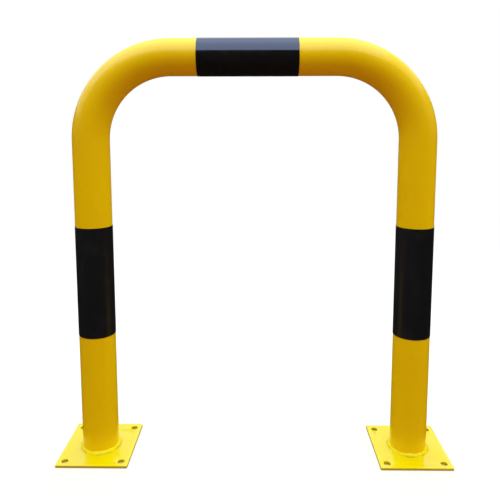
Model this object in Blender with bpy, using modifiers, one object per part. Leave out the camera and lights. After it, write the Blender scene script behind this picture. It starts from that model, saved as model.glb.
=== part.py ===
# Steel hoop barrier at full size, in metres, with +Z up.
# One round tube is bent into a hoop and stands on two plates that bolt to the floor.
# A fillet weld runs round each foot, and three bands of black film are wrapped round the tube.
# The origin is on the floor midway between the plates. X runs along the hoop, Y goes through it.
import math

import bmesh
import bpy

# Hoop tube
TUBE_DIAMETER = 0.0761
TUBE_WALL = 0.003
HOOP_WIDTH = 0.750
HOOP_HEIGHT = 0.880
BEND_RADIUS = 0.168
TUBE_SIDES = 40
BEND_STEPS = 16

# Base plates, with one bolt hole at each corner
PLATE_WIDTH = 0.150
PLATE_DEPTH = 0.160
PLATE_THICKNESS = 0.005
PLATE_CORNER = 0.002
PLATE_EDGE = 0.0004
CORNER_STEPS = 6
HOLE_DIAMETER = 0.014
HOLE_INSET = 0.016
HOLE_SIDES = 24

# Fillet weld round each foot, laid in two runs that meet at the front and the back
WELD_LEG = 0.005
WELD_BULGE = 0.0008
WELD_FACE_POINTS = 5
WELD_RIPPLES = 48
STEPS_A_RIPPLE = 4
RIPPLE_HEIGHT = 0.0004
RIPPLE_LEAN = 0.45
WELD_WANDERS = [(3, 0.7, 0.00035), (7, 2.1, 0.00021)]  # waves round the foot, start, height
WELD_LUMP = 0.0009
WELD_LUMP_SPAN = math.radians(9)

# Film bands, each wrapped once round the tube with a lap at the back.
# Film on the legs is placed from the floor, and film on the level run from its middle.
FILM_THICKNESS = 0.0004
FILM_LAP = 0.018
LAP_RISE = 0.012
FILM_SIDES = 48
LEG_BAND_BOTTOM = 0.261
LEG_BAND_LENGTH = 0.234
TOP_BAND_LENGTH = 0.204
TOP_BAND_OFFSET = -0.012
TOP_LAP_TURN = math.radians(45)

# Neighbours that rest on each other stay this far apart
SEAT_GAP = 0.0003

# Points of one mesh that are closer than this become one
MERGE_DISTANCE = 0.00005

# Colour, roughness and metallic value of each finish
FINISHES = {
    "yellow coat": ((0.86, 0.60, 0.01, 1.0), 0.28, 0.0),
    "black film": ((0.006, 0.006, 0.008, 1.0), 0.16, 0.0),
}
SHARP_ANGLE = math.radians(35)

TUBE_RADIUS = TUBE_DIAMETER / 2
LEG_X = HOOP_WIDTH / 2 - TUBE_RADIUS
TOP_Z = HOOP_HEIGHT - TUBE_RADIUS
FOOT_Z = PLATE_THICKNESS + SEAT_GAP
SIDES = {"left": -1, "right": 1}


def clear_scene():
    for item in list(bpy.data.objects):
        bpy.data.objects.remove(item, do_unlink=True)


def new_collection(name):
    collection = bpy.data.collections.new(name)
    bpy.context.scene.collection.children.link(collection)
    return collection


def arc(centre, radius, start, end, steps):
    """Points on a circle from one angle to another, with both ends."""
    angles = [start + (end - start) * step / steps for step in range(steps + 1)]
    return [(centre[0] + radius * math.cos(a), centre[1] + radius * math.sin(a)) for a in angles]


def new_curve(name, dimensions):
    data = bpy.data.curves.new(name, "CURVE")
    data.dimensions = dimensions
    return data


def add_line(curve, points, closed):
    line = curve.splines.new("POLY")
    line.points.add(len(points) - 1)
    for corner, place in zip(line.points, points):
        corner.co = (*place, 1.0)
    line.use_cyclic_u = closed


def mesh_from(source):
    """A mesh object with the evaluated shape of another object, which it replaces."""
    bpy.context.view_layer.update()
    evaluated = source.evaluated_get(bpy.context.evaluated_depsgraph_get())
    mesh = bpy.data.meshes.new_from_object(evaluated)
    name = source.name
    bpy.data.objects.remove(source, do_unlink=True)
    mesh.name = name
    solid = bpy.data.objects.new(name, mesh)
    bpy.context.scene.collection.objects.link(solid)
    weld_points(mesh)
    return solid


def weld_points(mesh):
    bm = bmesh.new()
    bm.from_mesh(mesh)
    bmesh.ops.remove_doubles(bm, verts=bm.verts, dist=MERGE_DISTANCE)
    bm.to_mesh(mesh)
    bm.free()


def mesh_from_curve(curve):
    holder = bpy.data.objects.new(curve.name, curve)
    bpy.context.scene.collection.objects.link(holder)
    return mesh_from(holder)


def add_wall(solid, thickness):
    """Gives an open surface a wall on the side that its faces turn their backs to."""
    wall = solid.modifiers.new("wall", "SOLIDIFY")
    wall.thickness = thickness
    wall.offset = -1.0
    wall.use_even_offset = True


def hoop_path():
    """Centreline of the tube: up one leg, round both bends and down the other leg."""
    bend_centre = (BEND_RADIUS - LEG_X, TOP_Z - BEND_RADIUS)
    left = arc(bend_centre, BEND_RADIUS, math.pi, math.pi / 2, BEND_STEPS)
    right = [(-x, z) for x, z in reversed(left)]
    outline = [(-LEG_X, FOOT_Z), *left, *right, (LEG_X, FOOT_Z)]
    return [(x, 0.0, z) for x, z in outline]


def make_hoop_tube():
    curve = new_curve("hoop_tube", "3D")
    curve.fill_mode = "FULL"
    curve.bevel_depth = TUBE_RADIUS
    curve.bevel_resolution = (TUBE_SIDES - 4) // 2
    add_line(curve, hoop_path(), closed=False)
    tube = mesh_from_curve(curve)
    add_wall(tube, TUBE_WALL)
    return tube


def plate_outline():
    """Rounded rectangle, anticlockwise from the right side."""
    across = PLATE_WIDTH / 2 - PLATE_CORNER
    along = PLATE_DEPTH / 2 - PLATE_CORNER
    quarter = math.pi / 2
    outline = []
    for turn, (x, y) in enumerate([(1, 1), (-1, 1), (-1, -1), (1, -1)]):
        centre = (x * across, y * along)
        outline += arc(centre, PLATE_CORNER, turn * quarter, (turn + 1) * quarter, CORNER_STEPS)
    return [(x, y, 0.0) for x, y in outline]


def hole_outline(x, y):
    circle = arc((x, y), HOLE_DIAMETER / 2, 0.0, 2 * math.pi, HOLE_SIDES)
    return [(px, py, 0.0) for px, py in circle[:-1]]


def make_base_plate(side):
    curve = new_curve(f"base_plate_{side}", "2D")
    curve.fill_mode = "BOTH"
    curve.extrude = PLATE_THICKNESS / 2
    add_line(curve, plate_outline(), closed=True)
    hole_x = PLATE_WIDTH / 2 - HOLE_INSET
    hole_y = PLATE_DEPTH / 2 - HOLE_INSET
    for x in (-hole_x, hole_x):
        for y in (-hole_y, hole_y):
            add_line(curve, hole_outline(x, y), closed=True)
    plate = mesh_from_curve(curve)
    edge = plate.modifiers.new("eased edges", "BEVEL")
    edge.width = PLATE_EDGE
    edge.segments = 1
    edge.limit_method = "ANGLE"
    edge.angle_limit = SHARP_ANGLE
    plate.location = (SIDES[side] * LEG_X, 0.0, PLATE_THICKNESS / 2)
    return plate


def weld_profile():
    """Half section of the bead in the XZ plane: down its face, in along the plate, up the tube."""
    inner = TUBE_RADIUS + SEAT_GAP
    points = []
    for step in range(WELD_FACE_POINTS):
        down = step / (WELD_FACE_POINTS - 1)
        out = WELD_BULGE * math.sin(math.pi * down) / math.sqrt(2)
        points.append((inner + WELD_LEG * down + out, 0.0, WELD_LEG * (1 - down) + out))
    points.append((inner, 0.0, 0.0))
    return points


def weld_swell(angle, down):
    """How far the bead's face stands out at one place, from its ripples, wander and run ends."""
    crown = math.sin(math.pi * down)
    ripple = WELD_RIPPLES * angle / (2 * math.pi) + RIPPLE_LEAN * (2 * down - 1) ** 2
    swell = RIPPLE_HEIGHT * crown * (abs(math.sin(math.pi * ripple)) - 0.5)
    for waves, start, height in WELD_WANDERS:
        swell += height * math.sin(waves * angle + start)
    from_join = math.asin(abs(math.cos(angle)))
    swell += WELD_LUMP * math.exp(-((from_join / WELD_LUMP_SPAN) ** 2))
    return swell


def shape_weld(mesh, direction):
    """Moves the face of a plain turned bead out and in along its slope."""
    inner = TUBE_RADIUS + SEAT_GAP
    for corner in mesh.vertices:
        x, y, z = corner.co
        out = math.hypot(x, y) - inner
        if out + z < WELD_LEG / 2:
            continue
        angle = math.atan2(y, x)
        down = (out - z + WELD_LEG) / (2 * WELD_LEG)
        swell = weld_swell(angle * direction, down)
        reach = inner + out + swell * down
        corner.co = (reach * math.cos(angle), reach * math.sin(angle), z + swell * (1 - down))


def make_weld_bead(side):
    mesh = bpy.data.meshes.new(f"weld_bead_{side}")
    profile = weld_profile()
    edges = [(i, (i + 1) % len(profile)) for i in range(len(profile))]
    mesh.from_pydata(profile, edges, [])
    turned = bpy.data.objects.new(f"weld_bead_{side}", mesh)
    bpy.context.scene.collection.objects.link(turned)
    screw = turned.modifiers.new("turn", "SCREW")
    screw.axis = "Z"
    screw.angle = 2 * math.pi
    screw.steps = WELD_RIPPLES * STEPS_A_RIPPLE
    screw.render_steps = screw.steps
    screw.use_merge_vertices = True
    screw.merge_threshold = MERGE_DISTANCE
    bead = mesh_from(turned)
    shape_weld(bead.data, SIDES[side])
    bead.location = (SIDES[side] * LEG_X, 0.0, FOOT_Z)
    return bead


def film_outline():
    """Underside of one wrap of film, seen along the tube, from its start to the end of its lap."""
    first = TUBE_RADIUS + SEAT_GAP
    second = first + FILM_THICKNESS + SEAT_GAP
    full_turn = 2 * math.pi
    rise_start = full_turn - LAP_RISE / first
    end = full_turn + FILM_LAP / second
    steps = round(FILM_SIDES * end / full_turn)
    points = []
    for step in range(steps + 1):
        angle = end * step / steps
        risen = min(max((angle - rise_start) / (full_turn - rise_start), 0.0), 1.0)
        radius = first + (second - first) * risen
        points.append((radius * math.cos(angle), radius * math.sin(angle), 0.0))
    return points


def make_film_band(name, length):
    curve = new_curve(name, "2D")
    curve.fill_mode = "NONE"
    curve.extrude = length / 2
    add_line(curve, film_outline(), closed=False)
    band = mesh_from_curve(curve)
    add_wall(band, FILM_THICKNESS)
    return band


def make_leg_band(side):
    band = make_film_band(f"band_{side}", LEG_BAND_LENGTH)
    band.rotation_euler = (0.0, 0.0, math.pi / 2)
    band.location = (SIDES[side] * LEG_X, 0.0, LEG_BAND_BOTTOM + LEG_BAND_LENGTH / 2)
    return band


def make_top_band():
    band = make_film_band("band_top", TOP_BAND_LENGTH)
    band.rotation_euler = (math.pi / 2, 0.0, math.pi / 2)
    band.rotation_euler.rotate_axis("Z", -TOP_LAP_TURN)
    band.location = (TOP_BAND_OFFSET, 0.0, TOP_Z)
    return band


def apply_finish(solid, finish):
    colour, roughness, metallic = FINISHES[finish]
    material = bpy.data.materials.new(f"{solid.name} {finish}")
    material.use_nodes = True
    shader = material.node_tree.nodes["Principled BSDF"]
    shader.inputs["Base Color"].default_value = colour
    shader.inputs["Roughness"].default_value = roughness
    shader.inputs["Metallic"].default_value = metallic
    material.diffuse_color = colour
    solid.data.materials.clear()
    solid.data.materials.append(material)


def file_under(solid, collection, root):
    for old in list(solid.users_collection):
        old.objects.unlink(solid)
    collection.objects.link(solid)
    solid.parent = root
    solid.data.shade_smooth()
    solid.data.set_sharp_from_angle(angle=SHARP_ANGLE)


def main():
    clear_scene()
    collection = new_collection("steel_hoop_barrier")
    root = bpy.data.objects.new("barrier_root", None)
    collection.objects.link(root)
    coated = [make_hoop_tube()]
    coated += [make_base_plate(side) for side in SIDES]
    coated += [make_weld_bead(side) for side in SIDES]
    wrapped = [make_top_band()]
    wrapped += [make_leg_band(side) for side in SIDES]
    for solid in coated:
        apply_finish(solid, "yellow coat")
    for solid in wrapped:
        apply_finish(solid, "black film")
    for solid in coated + wrapped:
        file_under(solid, collection, root)


main()
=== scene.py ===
import math

import bmesh
import bpy
from mathutils import Matrix, Vector


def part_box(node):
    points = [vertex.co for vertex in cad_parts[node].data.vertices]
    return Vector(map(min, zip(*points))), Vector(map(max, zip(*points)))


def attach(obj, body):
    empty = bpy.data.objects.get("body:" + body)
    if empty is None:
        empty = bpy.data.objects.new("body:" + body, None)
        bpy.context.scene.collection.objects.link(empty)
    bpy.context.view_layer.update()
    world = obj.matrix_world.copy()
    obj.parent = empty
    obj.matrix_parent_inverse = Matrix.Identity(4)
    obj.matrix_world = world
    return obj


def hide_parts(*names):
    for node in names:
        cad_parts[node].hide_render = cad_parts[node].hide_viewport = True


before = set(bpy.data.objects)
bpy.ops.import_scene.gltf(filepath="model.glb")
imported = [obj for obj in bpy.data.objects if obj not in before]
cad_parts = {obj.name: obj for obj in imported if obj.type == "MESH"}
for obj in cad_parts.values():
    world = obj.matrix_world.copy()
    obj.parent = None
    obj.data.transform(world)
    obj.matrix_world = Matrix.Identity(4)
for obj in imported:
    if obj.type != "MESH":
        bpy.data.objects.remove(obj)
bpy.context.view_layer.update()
print("frame loaded:", ", ".join(sorted(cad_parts)))


def clearSelection():
    if bpy.context.mode != "OBJECT":
        bpy.ops.object.mode_set(mode="OBJECT")
    bpy.ops.object.select_all(action="DESELECT")


def startPiece(name):
    # takes the primitive that was just added, sets its place in its mesh and opens it
    piece = bpy.context.object
    piece.name = name
    piece.data.name = name
    bpy.ops.object.transform_apply(location=True, rotation=True, scale=True)
    bpy.ops.object.mode_set(mode="EDIT")
    bpy.ops.mesh.select_all(action="SELECT")
    return piece


def pickEdges(piece, test):
    # selects the edges that pass the test, and nothing else
    bpy.ops.mesh.select_all(action="DESELECT")
    bpy.ops.mesh.select_mode(type="EDGE")
    shape = bmesh.from_edit_mesh(piece.data)
    for edge in shape.edges:
        if test(edge):
            edge.select_set(True)
    shape.select_flush_mode()
    bmesh.update_edit_mesh(piece.data)


def closeShape(gap=0.00001):
    # welds the joins and turns every face outwards
    bpy.ops.mesh.select_all(action="SELECT")
    bpy.ops.mesh.remove_doubles(threshold=gap)
    bpy.ops.mesh.normals_make_consistent(inside=False)
    bpy.ops.object.mode_set(mode="OBJECT")


def applyModifier(piece, kind, **settings):
    change = piece.modifiers.new(kind.title(), kind)
    for name, value in settings.items():
        setattr(change, name, value)
    bpy.context.view_layer.objects.active = piece
    bpy.ops.object.modifier_apply(modifier=change.name)


def smoothBelow(piece, degrees):
    clearSelection()
    piece.select_set(True)
    bpy.context.view_layer.objects.active = piece
    bpy.ops.object.shade_smooth_by_angle(angle=math.radians(degrees))


def copyPiece(piece, name, place=(0, 0, 0), turn=0):
    # a second piece with its own mesh, turned about the middle of the hoop and then moved
    clearSelection()
    piece.select_set(True)
    bpy.context.view_layer.objects.active = piece
    bpy.ops.object.duplicate()
    twin = bpy.context.object
    twin.name = name
    twin.data.name = name
    twin.location = place
    twin.rotation_euler.z = math.radians(turn)
    bpy.ops.object.transform_apply(location=True, rotation=True, scale=True)
    return twin


def finishPiece(piece, node, material):
    piece.data.materials.clear()
    piece.data.materials.append(material)
    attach(piece, "root")
    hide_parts(node)
    print("made", piece.name, len(piece.data.polygons), "faces")


class Wire:
    # one socket of a material that can be used in sums like a number
    def __init__(self, tree, socket):
        self.tree = tree
        self.socket = socket

    def maths(self, operation, first, second):
        return nodeIn(self.tree, "ShaderNodeMath", {"operation": operation}, {0: first, 1: second})

    def __add__(self, other):
        return self.maths("ADD", self, other)

    def __sub__(self, other):
        return self.maths("SUBTRACT", self, other)

    def __rsub__(self, other):
        return self.maths("SUBTRACT", other, self)

    def __mul__(self, other):
        return self.maths("MULTIPLY", self, other)

    __radd__ = __add__
    __rmul__ = __mul__

    def root(self):
        return self.maths("SQRT", self, 0)

    def size(self):
        return self.maths("ABSOLUTE", self, 0)

    def larger(self, other):
        return self.maths("MAXIMUM", self, other)

    def beside(self, name):
        # another output of the node that this socket belongs to
        return Wire(self.tree, self.socket.node.outputs[name])

    def fade(self, low, high, first=0, last=1):
        # goes smoothly from first to last as the wire goes from low to high
        sockets = {"Value": self, "From Min": low, "From Max": high, "To Min": first, "To Max": last}
        return nodeIn(self.tree, "ShaderNodeMapRange", {"interpolation_type": "SMOOTHSTEP"}, sockets)


def nodeIn(tree, kind, settings=None, sockets=None, out=0):
    # adds any node: its settings first, then what its sockets are set or linked to
    node = tree.nodes.new(kind)
    for name, value in (settings or {}).items():
        setattr(node, name, value)
    for name, value in (sockets or {}).items():
        if isinstance(value, Wire):
            tree.links.new(value.socket, node.inputs[name])
        else:
            node.inputs[name].default_value = value
    if node.outputs:
        return Wire(tree, node.outputs[out])


def mixColours(tree, factor, first, second):
    # sockets 6 and 7 are the two colours of the Mix node, and output 2 is its colour
    sockets = {0: factor, 6: first, 7: second}
    return nodeIn(tree, "ShaderNodeMix", {"data_type": "RGBA"}, sockets, out=2)


def newMaterial(name):
    material = bpy.data.materials.new(name)
    material.use_nodes = True
    tree = material.node_tree
    tree.nodes.clear()
    return material, tree


def noiseIn(tree, place, scale, detail=2.0, roughness=0.5):
    sockets = {"Vector": place, "Scale": scale, "Detail": detail, "Roughness": roughness}
    return nodeIn(tree, "ShaderNodeTexNoise", None, sockets)


def stretched(tree, place, scale):
    return nodeIn(tree, "ShaderNodeVectorMath", {"operation": "MULTIPLY"}, {0: place, 1: scale})


def objectPlace(tree):
    return nodeIn(tree, "ShaderNodeTexCoord", out="Object")


yellowCoat = {
    "colour": (0.93, 0.625, 0.0, 1),
    "thinColour": (0.89, 0.57, 0.0, 1),
    # the colour of the painted shade along the weld's toe and at the foot of the plates' edges
    "paintedShadeColour": (0.34, 0.24, 0.0, 1),
    "roughness": 0.19,
    "gloss": 0.42,
    "roughnessChange": 0.08,
    "peelScale": 420,            # orange peel about 2.4 mm across
    "peelHeight": 0.00022,
    "grainScale": 1500,
    "grainShare": 0.15,
    "nibScale": 95,
    "nibSize": 0.09,
    "nibShare": 0.9,
    # slow and fine changes of colour and gloss: how much of each goes into the thin colour
    "blotchScale": 9,
    "blotchFade": (0.35, 0.68),
    "blotchShare": 0.5,
    "mottleScale": 130,
    "mottleFade": (0.3, 0.7),
    "mottleShare": 0.2,
}

# the plates' coat is the tube's paint painted a shade more lemon, with less red, for the strong light from
# above, and is glossier and flatter, and the one over the weld is painted paler for its highlight, and is
# duller
plateCoat = dict(yellowCoat, colour=(0.78, 0.575, 0.0, 1), thinColour=(0.75, 0.54, 0.0, 1),
                 roughness=0.12, gloss=0.80, peelHeight=0.00013)
weldCoat = dict(yellowCoat, colour=(0.90, 0.69, 0.0, 1), thinColour=(0.83, 0.61, 0.0, 1),
                roughness=0.30, gloss=0.14)


def makeYellowCoat(name, coat, paintedShade=None):
    material, tree = newMaterial(name)
    place = objectPlace(tree)
    blotch = noiseIn(tree, place, coat["blotchScale"], detail=3).fade(*coat["blotchFade"])
    mottle = noiseIn(tree, place, coat["mottleScale"], detail=3).fade(*coat["mottleFade"])
    thin = blotch * coat["blotchShare"] + mottle * coat["mottleShare"]
    colour = mixColours(tree, thin, coat["colour"], coat["thinColour"])
    # painted shade, darker along the weld's toe and at the foot of the plates' edges
    if paintedShade:
        colour = mixColours(tree, paintedShade(tree, place), colour, coat["paintedShadeColour"])
    # powder coat: a low orange peel, a finer grain in it, and a few dust nibs
    peel = noiseIn(tree, place, coat["peelScale"], detail=1.5, roughness=0.4)
    grain = noiseIn(tree, place, coat["grainScale"], detail=1)
    spots = nodeIn(tree, "ShaderNodeTexVoronoi", {"feature": "F1"},
                   {"Vector": place, "Scale": coat["nibScale"], "Randomness": 1.0})
    nibs = spots.fade(0, coat["nibSize"], 1, 0)
    height = peel + grain * coat["grainShare"] + nibs * coat["nibShare"]
    bump = nodeIn(tree, "ShaderNodeBump", None,
                  {"Strength": 0.6, "Distance": coat["peelHeight"], "Height": height})
    rough = coat["roughness"] + (blotch * 0.6 + mottle * 0.4 - 0.5) * coat["roughnessChange"]
    shader = nodeIn(tree, "ShaderNodeBsdfPrincipled", None, {
        "Base Color": colour, "Roughness": rough, "IOR": 1.5, "Normal": bump,
        "Specular IOR Level": coat["gloss"]})
    nodeIn(tree, "ShaderNodeOutputMaterial", None, {"Surface": shader})
    return material


blackFilm = {
    "colour": (0.0074, 0.0074, 0.0086, 1),
    "dustColour": (0.0130, 0.0125, 0.0125, 1),
    "roughness": 0.13,
    "coat": 0.85,
    "coatRoughness": 0.06,
    "waveStretch": (14, 30, 30),
    "waveHeight": 0.0005,
    "peelScale": 380,
    "peelShare": 0.03,
    "hazeScale": 35,
    "hazeFade": (0.45, 0.75),
    "hazeShare": 0.5,
    "hazeRoughness": 0.08,
}

# the legs' bands are rubbed duller than the one on top
legFilm = dict(blackFilm, colour=(0.0062, 0.0060, 0.0064, 1), roughness=0.36, coatRoughness=0.34)


def makeBlackFilm(name, finish):
    material, tree = newMaterial(name)
    place = objectPlace(tree)
    haze = noiseIn(tree, place, finish["hazeScale"], detail=4, roughness=0.6).fade(*finish["hazeFade"])
    colour = mixColours(tree, haze * finish["hazeShare"], finish["colour"], finish["dustColour"])
    # the film follows the tube's orange peel softly and lies in faint long waves
    waves = noiseIn(tree, stretched(tree, place, finish["waveStretch"]), 1.0, detail=1)
    peel = noiseIn(tree, place, finish["peelScale"], detail=1)
    height = waves + peel * finish["peelShare"]
    bump = nodeIn(tree, "ShaderNodeBump", None,
                  {"Strength": 0.5, "Distance": finish["waveHeight"], "Height": height})
    rough = finish["roughness"] + haze * finish["hazeRoughness"]
    shader = nodeIn(tree, "ShaderNodeBsdfPrincipled", None, {
        "Base Color": colour, "Roughness": rough, "IOR": 1.5, "Normal": bump,
        "Coat Weight": finish["coat"], "Coat Roughness": finish["coatRoughness"], "Coat IOR": 1.5})
    nodeIn(tree, "ShaderNodeOutputMaterial", None, {"Surface": shader})
    return material


bentTube = {
    "diameter": 0.0761,
    "wall": 0.003,
    "bendRadius": 0.168,
    "sides": 96,
    "bendSteps": 36,
    "smoothAngle": 40,
}

tubeRadius = bentTube["diameter"] / 2
tubeLow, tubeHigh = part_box("hoop_tube")
legX = tubeHigh.x - tubeRadius
topZ = tubeHigh.z - tubeRadius
bendX = legX - bentTube["bendRadius"]
bendZ = topZ - bentTube["bendRadius"]


def extrudeEdges(step):
    bpy.ops.mesh.extrude_region_move(TRANSFORM_OT_translate={"value": step})


def makeBentTube(coat):
    clearSelection()
    bpy.ops.mesh.primitive_circle_add(
        vertices=bentTube["sides"], radius=tubeRadius, location=(-legX, 0, tubeLow.z))
    tube = startPiece("bentTube")
    extrudeEdges((0, 0, bendZ - tubeLow.z))
    bpy.ops.mesh.spin(
        steps=bentTube["bendSteps"], angle=math.radians(90), center=(-bendX, 0, bendZ), axis=(0, -1, 0))
    extrudeEdges((2 * bendX, 0, 0))
    bpy.ops.mesh.spin(
        steps=bentTube["bendSteps"], angle=math.radians(90), center=(bendX, 0, bendZ), axis=(0, -1, 0))
    extrudeEdges((0, 0, tubeLow.z - bendZ))
    closeShape()
    applyModifier(tube, "SOLIDIFY", thickness=bentTube["wall"], offset=-1, use_even_offset=True)
    smoothBelow(tube, bentTube["smoothAngle"])
    finishPiece(tube, "hoop_tube", coat)


basePlate = {
    "cornerRadius": 0.002,
    "cornerSteps": 5,
    "holeDiameter": 0.014,
    "holeInset": 0.016,
    "holeSides": 48,
    "rimRadius": 0.0005,
    "rimSteps": 3,
    "rimAngle": 40,
    "smoothAngle": 35,
    # painted shadow: the foot of the plate's edge is darker where it meets the floor
    "edgeShade": (0.0004, 0.0042),   # the foot of the plate's edge is darker up to this height
    "edgeDarkness": 0.5,
}


def makeBasePlates(coat):
    low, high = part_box("base_plate_left")
    middle = (low + high) / 2
    size = high - low
    clearSelection()
    bpy.ops.mesh.primitive_cube_add(size=1, location=middle, scale=size)
    plate = startPiece("basePlateLeft")

    def upright(edge):
        first, second = edge.verts
        return abs(first.co.x - second.co.x) + abs(first.co.y - second.co.y) < 0.0001

    pickEdges(plate, upright)
    bpy.ops.mesh.bevel(offset=basePlate["cornerRadius"], segments=basePlate["cornerSteps"], affect="EDGES")
    closeShape()

    clearSelection()
    reach = Vector((size.x / 2 - basePlate["holeInset"], size.y / 2 - basePlate["holeInset"], 0))
    drills = []
    for turnX in (-1, 1):
        for turnY in (-1, 1):
            spot = middle + Vector((reach.x * turnX, reach.y * turnY, 0))
            bpy.ops.mesh.primitive_cylinder_add(
                vertices=basePlate["holeSides"], radius=basePlate["holeDiameter"] / 2,
                depth=size.z * 4, location=spot)
            drills.append(bpy.context.object)
    for drill in drills:
        drill.select_set(True)
    bpy.ops.object.join()
    drill = bpy.context.object
    applyModifier(plate, "BOOLEAN", operation="DIFFERENCE", solver="EXACT", object=drill)
    bpy.data.objects.remove(drill)
    applyModifier(plate, "BEVEL", width=basePlate["rimRadius"], segments=basePlate["rimSteps"],
                  limit_method="ANGLE", angle_limit=math.radians(basePlate["rimAngle"]),
                  use_clamp_overlap=True)
    smoothBelow(plate, basePlate["smoothAngle"])
    second = copyPiece(plate, "basePlateRight", place=(2 * legX, 0, 0))
    finishPiece(plate, "base_plate_left", coat)
    finishPiece(second, "base_plate_right", coat)


weldBead = {
    "sink": 0.0002,             # the toe and the top edge run just under the coat
    "leg": 0.005,
    "bulge": 0.0005,
    "facePoints": 11,
    "steps": 576,
    "ripples": 48,
    "rippleHeight": 0.0004,
    "rippleLean": 0.45,
    "fineRipples": 144,
    "fineHeight": 0.00012,
    "fineLean": 1.6,
    # waves round the foot, where they start and how high they are
    "wanders": [(2, 0.4, 0.00050), (5, 2.1, 0.00048), (9, 0.9, 0.00042), (14, 3.3, 0.00030)],
    "lump": 0.0009,
    "lumpSpan": 9,
    "smoothAngle": 50,
    # the dark line of painted shade along the toe, where shade falls in the corner: where it starts down
    # the bead's face, how far from the tube it runs on the plate, how it fades, how dark it is and how it
    # breaks off
    "lineStart": 7 / 12,
    "lineOut": 0.0060,
    "lineFade": (0.0004, 0.0016),
    "lineOnPlate": 0.45,
    "lineOnBead": 0.55,
    "breakScale": 60,
    "breakFade": (0.42, 0.62),
}


def weldSwell(angle, down):
    # how far the weld face stands out at this angle round the foot, from 0 at the tube to 1 at the toe
    arch = math.sin(math.pi * down)
    lean = (2 * down - 1) ** 2
    phase = weldBead["ripples"] * angle / math.tau + weldBead["rippleLean"] * lean
    swell = weldBead["rippleHeight"] * arch * (abs(math.sin(math.pi * phase)) - 0.5)
    finePhase = weldBead["fineRipples"] * angle / math.tau + weldBead["fineLean"] * lean
    swell += weldBead["fineHeight"] * arch * math.sin(math.tau * finePhase)
    for waves, start, height in weldBead["wanders"]:
        swell += height * math.sin(waves * angle + start)
    fromJoin = math.degrees(math.asin(min(1, abs(math.cos(angle)))))
    return swell + weldBead["lump"] * math.exp(-(fromJoin / weldBead["lumpSpan"]) ** 2)


def makeWeldBeads(coat):
    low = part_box("weld_bead_left")[0]
    centre = Vector((-legX, 0, low.z - weldBead["sink"]))
    inner = tubeRadius - weldBead["sink"]
    faces = weldBead["facePoints"]
    # the fillet's cross-section, from a circle of points: a curved face and the corner behind it
    clearSelection()
    bpy.ops.mesh.primitive_circle_add(
        vertices=faces + 2, radius=weldBead["leg"] / 2, location=centre, rotation=(math.radians(90), 0, 0))
    bead = startPiece("weldBeadLeft")
    shape = bmesh.from_edit_mesh(bead.data)
    shape.verts.ensure_lookup_table()
    for number, vertex in enumerate(shape.verts):
        if number > faces:
            vertex.co = centre + Vector((inner, 0, 0))
            continue
        down = number / faces
        out = weldBead["bulge"] * math.sin(math.pi * down) / math.sqrt(2)
        vertex.co = centre + Vector((
            inner + weldBead["leg"] * down + out, 0, weldBead["leg"] * (1 - down) + out))
    bmesh.update_edit_mesh(bead.data)
    bpy.ops.mesh.spin(
        steps=weldBead["steps"], angle=math.radians(360), center=centre, axis=(0, 0, 1))
    closeShape()

    # how much painted shade each point of the bead takes, rising towards its toe
    paintedShade = bead.data.attributes.new("paintedShade", "FLOAT", "POINT")
    start = weldBead["lineStart"]
    for vertex in bead.data.vertices:
        away = vertex.co - centre
        reach = math.hypot(away.x, away.y)
        outward = reach - inner
        if outward < 0.00001 and away.z < 0.00001:
            continue
        down = (outward - away.z + weldBead["leg"]) / (2 * weldBead["leg"])
        angle = math.atan2(-away.y, away.x)
        swell = weldSwell(angle, down)
        grow = (reach + swell * down) / reach
        vertex.co = centre + Vector((away.x * grow, away.y * grow, away.z + swell * (1 - down)))
        paintedShade.data[vertex.index].value = max(0, (down - start) / (1 - start))
    smoothBelow(bead, weldBead["smoothAngle"])
    # the hoop was turned half round to weld its other foot
    second = copyPiece(bead, "weldBeadRight", turn=180)
    finishPiece(bead, "weld_bead_left", coat)
    finishPiece(second, "weld_bead_right", coat)


def brokenLine(tree, place):
    # the painted shade line along a weld comes and goes
    return noiseIn(tree, place, weldBead["breakScale"], detail=2).fade(*weldBead["breakFade"])


def beadPaintedShade(tree, place):
    depth = nodeIn(tree, "ShaderNodeAttribute", {"attribute_name": "paintedShade"}, out="Fac")
    return depth * brokenLine(tree, place) * weldBead["lineOnBead"]


def platePaintedShade(tree, place):
    # a thin line of painted shade along the weld's toe, in the corner where bead and plate meet
    across = nodeIn(tree, "ShaderNodeSeparateXYZ", None, {"Vector": place})
    sideways = across.size() - legX
    depth = across.beside("Y")
    away = (sideways * sideways + depth * depth).root()
    line = (away - tubeRadius - weldBead["lineOut"]).size().fade(*weldBead["lineFade"], 1, 0)
    # and painted contact shadow at the foot of the plate's edge
    edge = across.beside("Z").fade(*basePlate["edgeShade"], 1, 0)
    line = line * brokenLine(tree, place) * weldBead["lineOnPlate"]
    return line.larger(edge * basePlate["edgeDarkness"])


filmBand = {
    "seat": 0.0003,
    "thickness": 0.0004,
    "lap": 0.018,
    "lapRise": 0.012,
    "stepsRound": 180,
    "stepsAlong": 12,
    # where the lap starts: on a leg from its right side towards the back, on top from the back upwards
    "lapTurnLeg": 90,
    "lapTurnTop": 45,
    "smoothAngle": 40,
}


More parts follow.
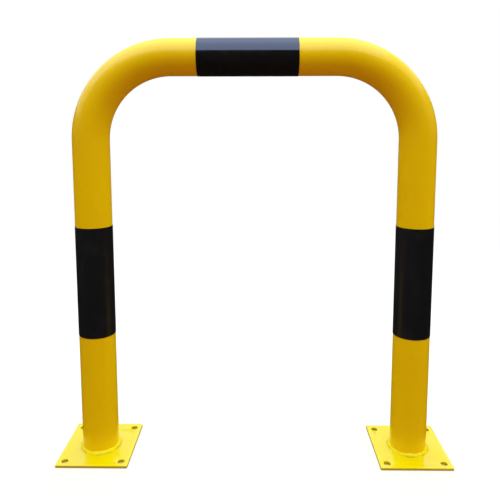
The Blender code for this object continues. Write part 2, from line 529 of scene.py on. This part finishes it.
def makeFilmBand(name, node, along):
    low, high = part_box(node)
    length = getattr(high, along) - getattr(low, along)
    first = tubeRadius + filmBand["seat"]
    second = first + filmBand["thickness"] + filmBand["seat"]
    lapAngle = filmBand["lap"] / second
    riseAngle = filmBand["lapRise"] / second
    # a flat strip, one turn and its lap long, that is then wrapped round the tube
    clearSelection()
    bpy.ops.mesh.primitive_grid_add(
        x_subdivisions=filmBand["stepsRound"], y_subdivisions=filmBand["stepsAlong"], size=1)
    band = startPiece(name)
    bpy.ops.transform.resize(value=(math.tau + lapAngle, length, 1))
    bpy.ops.object.mode_set(mode="OBJECT")
    if along == "z":
        axis = Vector((-legX, 0, (low.z + high.z) / 2))
        turn = math.radians(filmBand["lapTurnLeg"])
    else:
        axis = Vector(((low.x + high.x) / 2, 0, topZ))
        turn = math.radians(filmBand["lapTurnTop"])
    for vertex in band.data.vertices:
        angle = vertex.co.x + (math.tau + lapAngle) / 2
        rise = min(1, max(0, (angle - math.tau + riseAngle) / riseAngle))
        radius = first + (second - first) * rise * rise * (3 - 2 * rise)
        across = (radius * math.cos(angle + turn), radius * math.sin(angle + turn))
        if along == "z":
            vertex.co = axis + Vector((across[0], across[1], vertex.co.y))
        else:
            vertex.co = axis + Vector((vertex.co.y, across[0], across[1]))
    bpy.ops.object.mode_set(mode="EDIT")
    closeShape(0.00002)
    applyModifier(band, "SOLIDIFY", thickness=filmBand["thickness"], offset=1)
    smoothBelow(band, filmBand["smoothAngle"])
    return band


def makeFilmBands(topFilm, legsFilm):
    left = makeFilmBand("filmBandLeft", "band_left", "z")
    right = copyPiece(left, "filmBandRight", place=(2 * legX, 0, 0))
    top = makeFilmBand("filmBandTop", "band_top", "x")
    finishPiece(left, "band_left", legsFilm)
    finishPiece(right, "band_right", legsFilm)
    finishPiece(top, "band_top", topFilm)


studio = {
    "ambient": (0.34, 0.285, 0.25, 1),
    "floorPaper": (0.44, 0.37, 0.34, 1),
    "floorLift": 0.50,
    "floorSize": 200,
    "floorHeight": -0.0004,
    "floorBounce": (0.30, 0.13, 0.06, 1),
    "floorEdge": (1.3, 2.6),
    # the painted shadow on the ground under each plate, and how far it reaches from the leg's middle in x
    # and y
    "underPlateShadowColour": (0.50, 0.42, 0.10, 1),
    "underPlateShadowWidth": (0.070, 0.073),
    "underPlateShadowDepth": (0.074, 0.077),
    # name, place, turn, width, length, light given off as red, green and blue
    "softLights": [
        ("topLight", (0, 0.6, 5.0), (0, 0, 0), 6, 8, (2.14, 3.18, 3.00)),
        ("frontLight", (0, -5.9, 5.0), (0, 0, 0), 8, 5, (1.15, 0.88, 0.84)),
        ("leftLight", (-4, 0, 2.8), (0, -90, 0), 4, 5, (0.75, 0.68, 0.60)),
        ("rightLight", (4, 0, 2.8), (0, 90, 0), 4, 5, (1.32, 1.24, 1.06)),
        ("backLight", (0, 5, 2), (-90, 0, 0), 8, 4, (1.05, 1.35, 1.45)),
    ],
    # what only reflections show: a bright panel overhead that is dimmer towards its back
    "skyPanel": {"front": -6.5, "back": 5.0, "left": -8.0, "right": 3.5, "height": 5.0,
                 "colour": (1.5, 1.85, 2.9, 1), "backColour": (0.75, 0.85, 1.15, 1), "dims": (0.0, 3.2)},
    # and a dark wall round the stage: up to which angle from straight behind the hoop, with those
    # on the left below 0, and how high
    "wallRadius": 5.0,
    "wallSides": 72,
    "wallSteps": [(-115, 4.35), (45, 1.6), (115, 2.9), (180, 4.35)],
    "ringHeight": 0.0002,
    "darkCard": (0.012, 0.012, 0.014, 1),
}


def glowing(name, colour):
    # colour is a plain one, or a function that makes it in the material's tree
    material, tree = newMaterial(name)
    if callable(colour):
        colour = colour(tree)
    light = nodeIn(tree, "ShaderNodeEmission", None, {"Color": colour, "Strength": 1.0})
    nodeIn(tree, "ShaderNodeOutputMaterial", None, {"Surface": light})
    return material


def reflectionsOnly(card):
    card.visible_camera = False
    card.visible_diffuse = False
    card.visible_shadow = False
    card.visible_transmission = False


def seenDirectly(tree):
    # 1 for what the camera sees, also in or through something, and 0 for light that falls on surfaces
    camera = nodeIn(tree, "ShaderNodeLightPath", out="Is Camera Ray")
    return camera.larger(camera.beside("Is Glossy Ray")).larger(camera.beside("Is Transmission Ray"))


def makeWorld():
    world = bpy.data.worlds.new("studioWorld")
    bpy.context.scene.world = world
    world.use_nodes = True
    tree = world.node_tree
    tree.nodes.clear()
    colour = mixColours(tree, seenDirectly(tree), studio["ambient"], (1, 1, 1, 1))
    back = nodeIn(tree, "ShaderNodeBackground", None, {"Color": colour, "Strength": 1.0})
    nodeIn(tree, "ShaderNodeOutputWorld", None, {"Surface": back})


def makeFloor():
    clearSelection()
    bpy.ops.mesh.primitive_plane_add(size=studio["floorSize"], location=(0, 0, studio["floorHeight"]))
    floor = bpy.context.object
    floor.name = "studioFloor"
    material, tree = newMaterial("floorPaper")
    seen = seenDirectly(tree)
    colour = mixColours(tree, seen, studio["floorBounce"], studio["floorPaper"])
    lift = mixColours(tree, seen, (0, 0, 0, 1), (1, 1, 1, 1))
    paper = nodeIn(tree, "ShaderNodeBsdfPrincipled", None, {
        "Base Color": colour, "Roughness": 1.0, "Specular IOR Level": 0.0,
        "Emission Color": lift, "Emission Strength": studio["floorLift"]})
    # the ground under each base plate is painted darker as its shadow, and shows only through the bolt
    # holes
    place = objectPlace(tree)
    across = nodeIn(tree, "ShaderNodeSeparateXYZ", None, {"Vector": place})
    underX = (across.size() - legX).size().fade(*studio["underPlateShadowWidth"], 1, 0)
    underY = across.beside("Y").size().fade(*studio["underPlateShadowDepth"], 1, 0)
    underPlateShadow = nodeIn(tree, "ShaderNodeBsdfDiffuse", None, {"Color": studio["underPlateShadowColour"]})
    paper = nodeIn(tree, "ShaderNodeMixShader", None, {0: underX * underY, 1: paper, 2: underPlateShadow})
    # past the shadow the paper goes over into the white of the background
    glow = nodeIn(tree, "ShaderNodeEmission", None, {"Color": (1, 1, 1, 1), "Strength": 1.0})
    away = nodeIn(tree, "ShaderNodeVectorMath", {"operation": "LENGTH"}, {0: place}, out="Value")
    far = away.fade(*studio["floorEdge"]) * seen
    shader = nodeIn(tree, "ShaderNodeMixShader", None, {0: far, 1: paper, 2: glow})
    nodeIn(tree, "ShaderNodeOutputMaterial", None, {"Surface": shader})
    floor.data.materials.append(material)


def makeLights():
    for name, place, turn, width, length, light in studio["softLights"]:
        strongest = max(light)
        bpy.ops.object.light_add(
            type="AREA", location=place, rotation=[math.radians(angle) for angle in turn])
        lamp = bpy.context.object
        lamp.name = name
        lamp.data.shape = "RECTANGLE"
        lamp.data.size = width
        lamp.data.size_y = length
        # the watts at which a lamp of this size gives off the light above
        lamp.data.energy = strongest * math.pi * width * length
        lamp.data.color = [part / strongest for part in light]
        lamp.visible_glossy = False
        lamp.visible_camera = False


def makeCards():
    panel = studio["skyPanel"]
    clearSelection()
    middle = ((panel["left"] + panel["right"]) / 2, (panel["front"] + panel["back"]) / 2, panel["height"])
    bpy.ops.mesh.primitive_plane_add(size=1, location=middle)
    sky = startPiece("skyPanel")
    bpy.ops.transform.resize(value=(panel["right"] - panel["left"], panel["back"] - panel["front"], 1))
    bpy.ops.object.mode_set(mode="OBJECT")

    def skyColour(tree):
        across = nodeIn(tree, "ShaderNodeSeparateXYZ", None, {"Vector": objectPlace(tree)})
        behind = across.beside("Y").fade(*panel["dims"])
        return mixColours(tree, behind, panel["colour"], panel["backColour"])

    sky.data.materials.append(glowing("skyGlow", skyColour))
    reflectionsOnly(sky)

    dark = glowing("darkCard", studio["darkCard"])
    clearSelection()
    bpy.ops.mesh.primitive_cylinder_add(
        vertices=studio["wallSides"], radius=studio["wallRadius"], depth=1, end_fill_type="NOTHING",
        location=(0, 0, 0.5))
    wall = startPiece("darkWall")
    shape = bmesh.from_edit_mesh(wall.data)
    for vertex in shape.verts:
        if vertex.co.z > 0.5:
            fromBack = math.degrees(math.atan2(vertex.co.x, vertex.co.y))
            vertex.co.z = next(height for limit, height in studio["wallSteps"] if fromBack <= limit + 0.01)
    bmesh.update_edit_mesh(wall.data)
    bpy.ops.object.mode_set(mode="OBJECT")
    wall.data.materials.append(dark)
    reflectionsOnly(wall)

    clearSelection()
    bpy.ops.mesh.primitive_circle_add(
        vertices=studio["wallSides"], radius=studio["wallRadius"], fill_type="NGON",
        location=(0, 0, studio["ringHeight"]))
    ring = startPiece("darkRing")
    bpy.ops.object.mode_set(mode="OBJECT")
    ring.data.materials.append(dark)
    reflectionsOnly(ring)


viewpoint = {
    "place": (0.0076, -1.1441, 0.7162),
    "down": 6.747,
    "aside": -0.775,
    "tilt": -0.058,
    "lens": 39.85,
    "shiftY": -0.13,
}


def makeCamera():
    clearSelection()
    bpy.ops.object.camera_add(location=viewpoint["place"])
    camera = bpy.context.object
    turn = (Matrix.Rotation(math.radians(-viewpoint["aside"]), 4, "Z")
            @ Matrix.Rotation(math.radians(90 - viewpoint["down"]), 4, "X")
            @ Matrix.Rotation(math.radians(viewpoint["tilt"]), 4, "Z"))
    camera.rotation_euler = turn.to_euler()
    camera.data.sensor_width = 36
    camera.data.lens = viewpoint["lens"]
    camera.data.shift_y = viewpoint["shiftY"]
    camera.data.clip_end = 500
    bpy.context.scene.camera = camera


def main():
    onTube = makeYellowCoat("tubeCoat", yellowCoat)
    onWeld = makeYellowCoat("weldCoat", weldCoat, beadPaintedShade)
    onPlate = makeYellowCoat("plateCoat", plateCoat, platePaintedShade)
    onTop = makeBlackFilm("filmVinyl", blackFilm)
    onLegs = makeBlackFilm("rubbedFilmVinyl", legFilm)
    print("finishes ready")

    makeBentTube(onTube)
    makeBasePlates(onPlate)
    makeWeldBeads(onWeld)
    makeFilmBands(onTop, onLegs)

    makeWorld()
    makeFloor()
    makeLights()
    makeCards()
    makeCamera()
    bpy.context.scene.view_settings.view_transform = "Standard"
    print("studio ready")


main()
